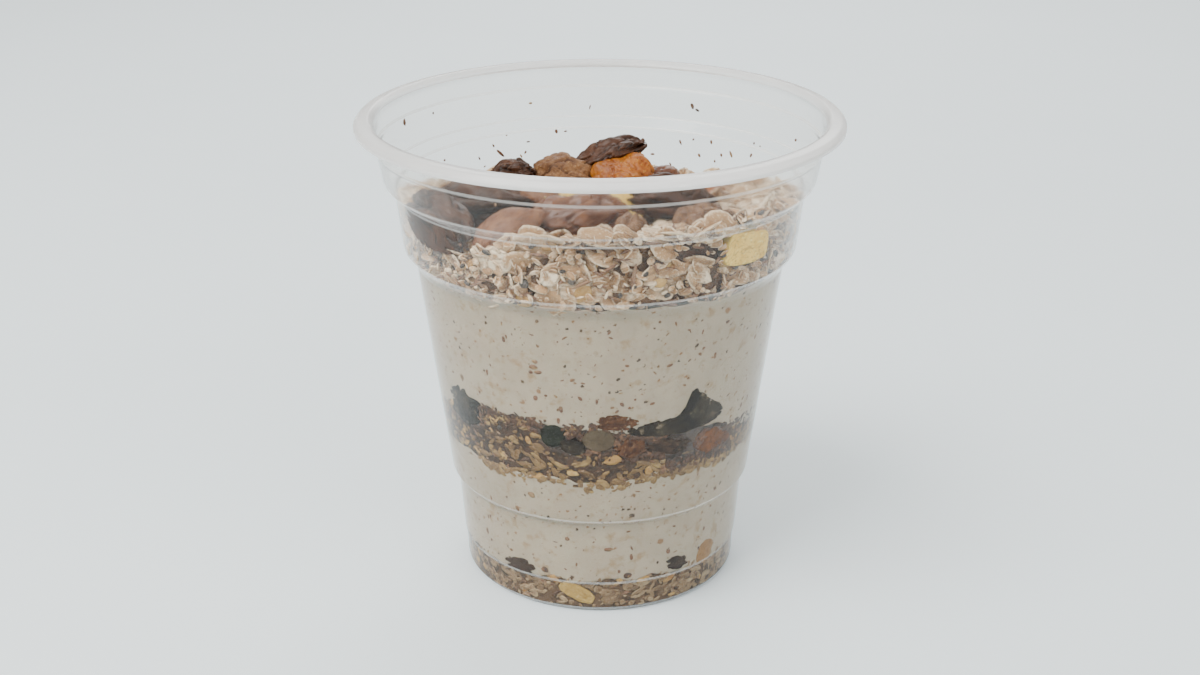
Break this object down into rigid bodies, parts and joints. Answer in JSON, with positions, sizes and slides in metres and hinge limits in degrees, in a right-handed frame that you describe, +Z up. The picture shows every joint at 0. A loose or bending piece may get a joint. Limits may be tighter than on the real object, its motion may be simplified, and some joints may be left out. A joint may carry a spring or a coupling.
{
  "type": "layered yogurt with muesli and dried fruit in a cup",
  "caption": "Clear plastic dessert cup of yogurt layered with muesli, with dried fruit and nuts heaped inside the rim.",
  "frame": {"origin": "centre of the cup's foot, at the level it stands on", "axes": "+Z up the cup's axis, -Y towards the side that the picture shows"},
  "size_m": [0.095, 0.095, 0.0954],
  "materials": {
    "clear_plastic": "clear and slightly hazy thin plastic, milky at the rolled lip",
    "yogurt": "moist warm off-white with fine brown specks",
    "muesli": "dry rolled oats, pale and tan, floury",
    "dark_fruit": "wrinkled, slightly glossy near-black brown",
    "brown_fruit": "wrinkled, sticky brown",
    "amber_fruit": "ridged, translucent orange",
    "yellow_fruit": "dry pale yellow",
    "nut": "dry matt tan with a brown skin",
    "green_seed": "smooth dark green"
  },
  "bodies": {
    "root": {"cup": "clear_plastic", "muesli_base": "muesli", "muesli_middle": "muesli", "muesli_top": "muesli", "yogurt_lower": "yogurt", "yogurt_upper": "yogurt", "prune_back": "dark_fruit", "date_back_left": "brown_fruit", "apricot_back": "amber_fruit", "date_left": "dark_fruit", "prune_left": "dark_fruit", "date_front": "brown_fruit", "prune_right": "dark_fruit", "walnut_right": "nut", "almond_front": "nut", "walnut_front": "nut", "almond_middle": "nut", "banana_chip_left": "yellow_fruit", "banana_chip_front": "yellow_fruit", "raisin_left": "dark_fruit", "raisin_right": "brown_fruit", "date_middle": "brown_fruit", "apricot_crest": "amber_fruit", "date_crest": "dark_fruit", "prune_middle_left": "dark_fruit", "prune_middle_right": "dark_fruit", "pumpkin_seed_middle": "green_seed", "raisin_middle": "dark_fruit", "hazelnut_middle": "nut", "fig_middle": "brown_fruit", "date_low_left": "brown_fruit", "date_low_right": "brown_fruit", "apricot_middle": "amber_fruit", "raisin_base_right": "dark_fruit", "apricot_base": "amber_fruit", "date_base_left": "dark_fruit", "mango_base": "yellow_fruit", "mango_top": "yellow_fruit", "prune_top": "dark_fruit"}
  },
  "joints": []
}
